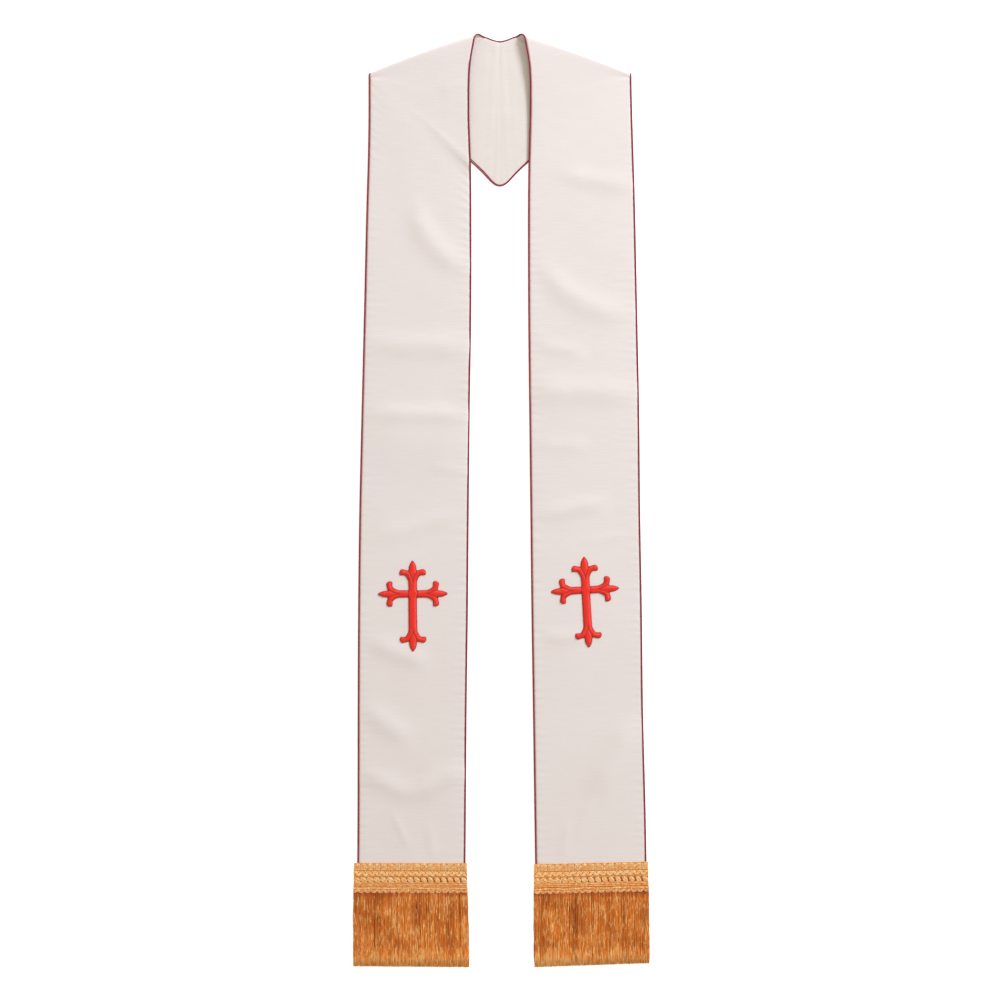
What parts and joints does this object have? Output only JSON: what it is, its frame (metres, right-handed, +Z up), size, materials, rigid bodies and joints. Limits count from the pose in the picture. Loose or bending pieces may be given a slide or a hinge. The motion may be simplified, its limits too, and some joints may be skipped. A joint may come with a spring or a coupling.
{
  "type": "clerical stole",
  "caption": "Long clerical stole laid flat, with a pointed back yoke, corded piping, an embroidered cross, gimp braid and fringe on each front.",
  "frame": {"origin": "middle of the whole outline, on the surface the stole lies on", "axes": "+X towards the front at the right of the picture, +Y from the fringe towards the neck, +Z up from the surface through the layers"},
  "size_m": [0.4144, 1.3078, 0.0127],
  "materials": {
    "ivory_cloth": "plain ivory cloth with a faint sheen",
    "lining": "smooth ivory lining",
    "red_piping": "crimson cloth-covered cord",
    "red_thread": "satin-stitched red thread",
    "gold_braid": "old gold gimp braid with three rows of loops",
    "gold_fringe": "glossy old gold rayon fringe"
  },
  "bodies": {
    "root": {"front_left": "ivory_cloth", "front_right": "ivory_cloth", "yoke_left": "ivory_cloth", "yoke_right": "ivory_cloth", "yoke_lining_left": "lining", "yoke_lining_right": "lining", "outer_piping": "red_piping", "neck_piping": "red_piping", "cross_left": "red_thread", "cross_right": "red_thread", "braid_left": "gold_braid", "braid_right": "gold_braid", "fringe_left": "gold_fringe", "fringe_right": "gold_fringe"}
  },
  "joints": []
}
